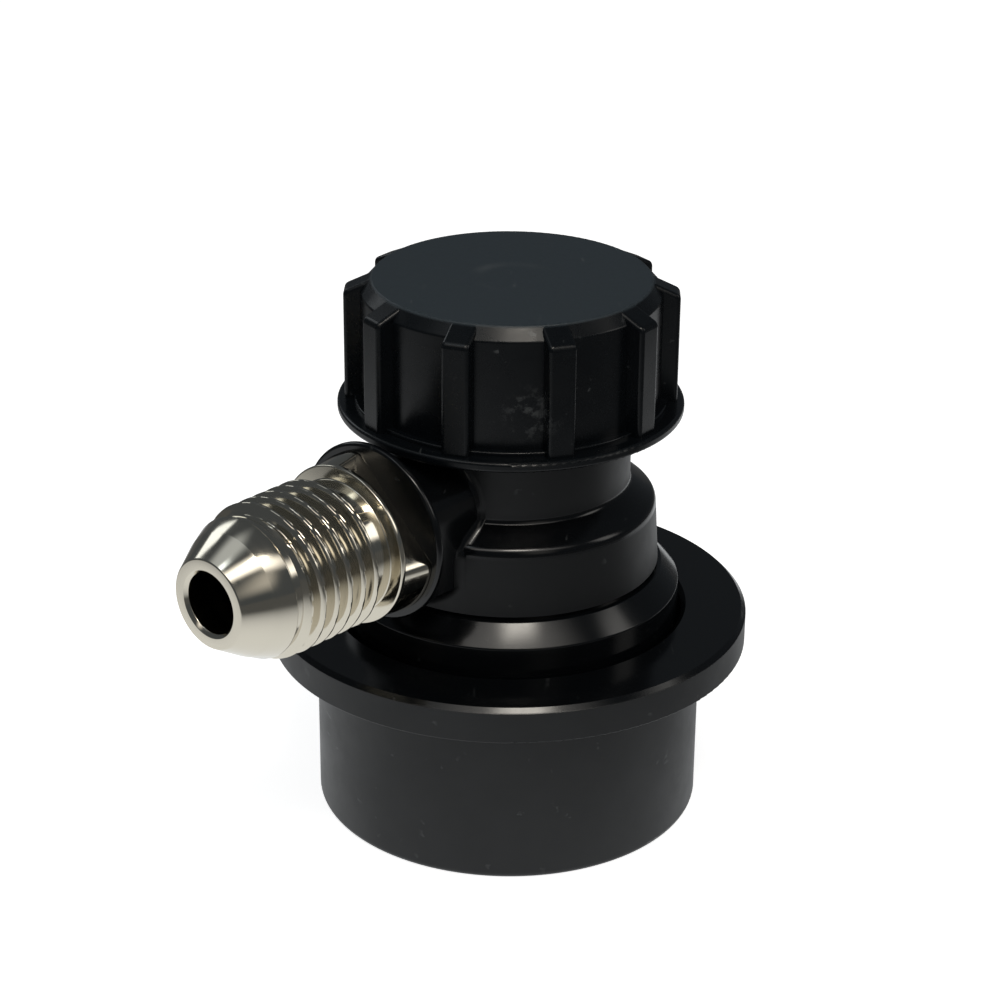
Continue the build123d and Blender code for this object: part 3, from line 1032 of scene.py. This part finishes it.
def add_camera(scene, stage):
    """Camera that looks down at the coupler."""
    pitch, roll, yaw = stage.camera_pitch, stage.camera_roll, stage.camera_yaw
    level = Vector((math.sin(yaw), math.cos(yaw), 0))
    side = Vector((math.cos(yaw), -math.sin(yaw), 0))
    forward = level * math.cos(pitch) - Vector((0, 0, math.sin(pitch)))
    up = level * math.sin(pitch) + Vector((0, 0, math.cos(pitch)))
    across = side * math.cos(roll) - up * math.sin(roll)
    upward = side * math.sin(roll) + up * math.cos(roll)
    data = bpy.data.cameras.new("Camera")
    data.lens = stage.camera_lens
    data.sensor_width = 36.0
    data.clip_start, data.clip_end = 0.01, 20.0
    camera = linked("Camera", data)
    place = Vector(stage.camera_place)
    axes = Matrix((across, upward, -forward)).transposed().to_4x4()
    camera.matrix_world = Matrix.Translation(place) @ axes
    scene.camera = camera


def floor_finish(stage, level):
    """White floor that glows a little for the camera and is dark in most reflections."""
    material = bpy.data.materials.new("Pale floor")
    material.use_nodes = True
    tree = material.node_tree
    tree.nodes.clear()
    matt = tree.nodes.new("ShaderNodeBsdfDiffuse")
    path = tree.nodes.new("ShaderNodeLightPath").outputs
    glow = tree.nodes.new("ShaderNodeEmission")
    both = tree.nodes.new("ShaderNodeAddShader")
    direct = calc(tree, "MULTIPLY", path["Is Camera Ray"], stage.floor_glow)
    wire(tree, matt, Color=(0.8, 0.8, 0.8, 1))
    wire(tree, glow, Color=(1, 1, 1, 1), Strength=direct)
    tree.links.new(matt.outputs[0], both.inputs[0])
    tree.links.new(glow.outputs[0], both.inputs[1])
    place = tree.nodes.new("ShaderNodeNewGeometry").outputs["Position"]
    bright = stage.floor_far
    for setting, (x, y), near, far in FLOOR_PATCHES:
        away = from_point(tree, place, (x * MM, y * MM, level))
        patch = eased(
            tree, away, near * MM, far * MM, getattr(stage, setting), stage.floor_far
        )
        bright = calc(tree, "MAXIMUM", bright, patch)
    mirror = tree.nodes.new("ShaderNodeEmission")
    wire(tree, mirror, Color=(0.96, 0.985, 1.0, 1), Strength=bright)
    mirrored = calc(tree, "MAXIMUM", path["Is Glossy Ray"], path["Is Transmission Ray"])
    choice = tree.nodes.new("ShaderNodeMixShader")
    for socket, value in zip(choice.inputs, (mirrored, both.outputs[0], mirror.outputs[0])):
        tree.links.new(value, socket)
    out = tree.nodes.new("ShaderNodeOutputMaterial")
    tree.links.new(choice.outputs[0], out.inputs["Surface"])
    return material


def add_floor(stage, level):
    """Square floor under the coupler, 12 m wide."""
    half = 6.0
    mesh = bpy.data.meshes.new("Floor")
    corners = [(-half, -half, 0), (half, -half, 0), (half, half, 0), (-half, half, 0)]
    mesh.from_pydata(corners, [], [(0, 1, 2, 3)])
    floor = linked("Floor", mesh)
    floor.location.z = level
    floor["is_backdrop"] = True
    mesh.materials.append(floor_finish(stage, level))


def add_world(scene):
    """Dim grey room that the camera sees as white."""
    world = bpy.data.worlds.new("Studio")
    scene.world = world
    world.use_nodes = True
    tree = world.node_tree
    tree.nodes.clear()
    path = tree.nodes.new("ShaderNodeLightPath")
    room = tree.nodes.new("ShaderNodeBackground")
    white = tree.nodes.new("ShaderNodeBackground")
    wire(tree, room, Color=(0.07, 0.078, 0.086, 1))
    wire(tree, white, Color=(1, 1, 1, 1))
    choice = tree.nodes.new("ShaderNodeMixShader")
    values = (path.outputs["Is Camera Ray"], room.outputs[0], white.outputs[0])
    for socket, value in zip(choice.inputs, values):
        tree.links.new(value, socket)
    out = tree.nodes.new("ShaderNodeOutputWorld")
    tree.links.new(choice.outputs[0], out.inputs["Surface"])


class COUPLER_OT_stage(bpy.types.Operator):
    """Camera, lamps, floor and surroundings"""

    bl_idname = "coupler.stage"
    bl_label = "Stage"

    def execute(self, context):
        scene = context.scene
        stage = scene.coupler_stage
        low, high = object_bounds()
        target = (low + high) / 2
        add_camera(scene, stage)
        for setting, *details in LAMPS:
            lamp(target, getattr(stage, setting), *details)
        add_floor(stage, low.z)
        add_world(scene)
        scene.view_settings.view_transform = "Standard"
        return {"FINISHED"}


# --- Add-on -----------------------------------------------------------------


class COUPLER_PT_panel(bpy.types.Panel):
    """Buttons in the order in which the pieces are made"""

    bl_label = "Keg coupler"
    bl_idname = "COUPLER_PT_panel"
    bl_space_type = "VIEW_3D"
    bl_region_type = "UI"
    bl_category = "Coupler"

    def draw(self, context):
        for operator in OPERATORS:
            self.layout.operator(operator.bl_idname)


OPERATORS = (
    COUPLER_OT_mouldings,
    COUPLER_OT_body,
    COUPLER_OT_outlet,
    COUPLER_OT_inner_parts,
    COUPLER_OT_stage,
)
SETTINGS = {
    "coupler_finish": FinishSettings,
    "coupler_outlet": OutletSizes,
    "coupler_body": BodySizes,
    "coupler_stage": StageSettings,
}


def register():
    for name, group in SETTINGS.items():
        bpy.utils.register_class(group)
        setattr(bpy.types.Scene, name, bpy.props.PointerProperty(type=group))
    for operator in OPERATORS:
        bpy.utils.register_class(operator)
    bpy.utils.register_class(COUPLER_PT_panel)


def unregister():
    bpy.utils.unregister_class(COUPLER_PT_panel)
    for operator in reversed(OPERATORS):
        bpy.utils.unregister_class(operator)
    for name, group in reversed(SETTINGS.items()):
        delattr(bpy.types.Scene, name)
        bpy.utils.unregister_class(group)


def main():
    register()
    bpy.ops.coupler.mouldings()
    bpy.ops.coupler.body()
    bpy.ops.coupler.outlet()
    bpy.ops.coupler.inner_parts()
    bpy.ops.coupler.stage()


if __name__ == "__main__":
    main()
